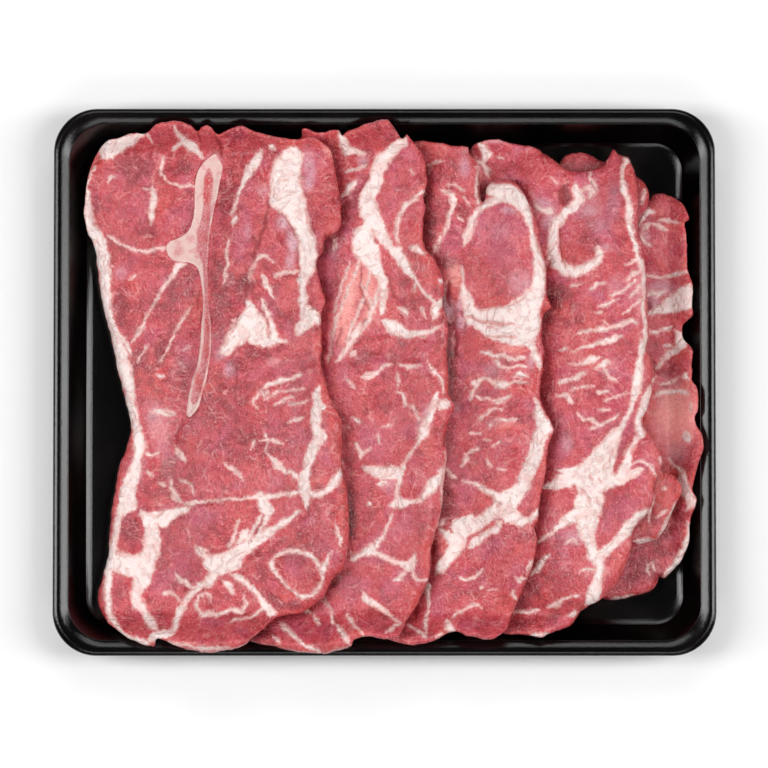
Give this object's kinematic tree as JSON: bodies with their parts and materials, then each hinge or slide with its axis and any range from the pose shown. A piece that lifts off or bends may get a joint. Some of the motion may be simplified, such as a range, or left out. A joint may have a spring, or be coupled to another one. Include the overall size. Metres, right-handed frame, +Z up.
{
  "type": "meat tray pack",
  "caption": "Black foam tray filled with overlapping raw pork shoulder slices, marbled and seamed with fat, with a blade bone in the end slice.",
  "frame": {"origin": "on the standing surface, under the middle of the tray", "axes": "+X along the tray's length, towards the lowest slice; +Y to the far long side; +Z up"},
  "size_m": [0.286, 0.2364, 0.038],
  "materials": {
    "foam": "black foamed polystyrene with a smooth, faintly pebbled skin",
    "bone": "moist sawn bone, pale rim round a red spongy middle",
    "meat": "moist raw pork, pink-red lean with fine marbling and pale cream seams of fat"
  },
  "bodies": {
    "root": {"tray": "foam", "blade_bone": "bone", "slice_1": "meat", "slice_2": "meat", "slice_3": "meat", "slice_4": "meat", "slice_5": "meat", "slice_6": "meat"}
  },
  "joints": []
}
